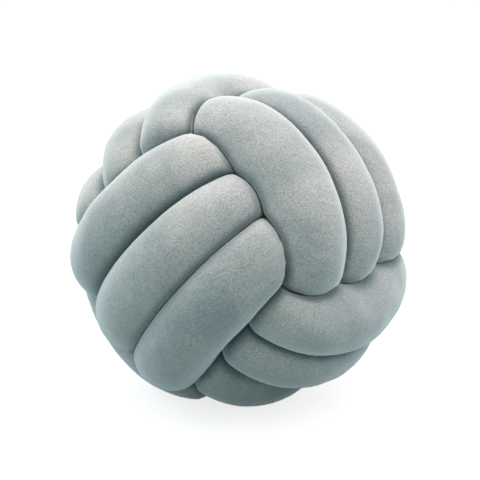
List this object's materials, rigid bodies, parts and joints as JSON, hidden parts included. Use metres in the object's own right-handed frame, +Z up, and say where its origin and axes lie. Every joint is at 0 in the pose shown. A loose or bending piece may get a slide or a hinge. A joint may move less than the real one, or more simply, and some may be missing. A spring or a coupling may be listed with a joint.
{
  "type": "knot ball cushion",
  "caption": "Round cushion of one stuffed velvet tube wound and drawn up into a ball knot.",
  "frame": {"origin": "on the resting surface, under the middle of the ball", "axes": "+Z up from the surface; -Y towards the side where three hanks of the knot meet"},
  "size_m": [0.3036, 0.3114, 0.2924],
  "materials": {
    "velvet": "short-pile grey-green velvet"
  },
  "bodies": {
    "root": {"knotted_tube": "velvet"}
  },
  "joints": []
}
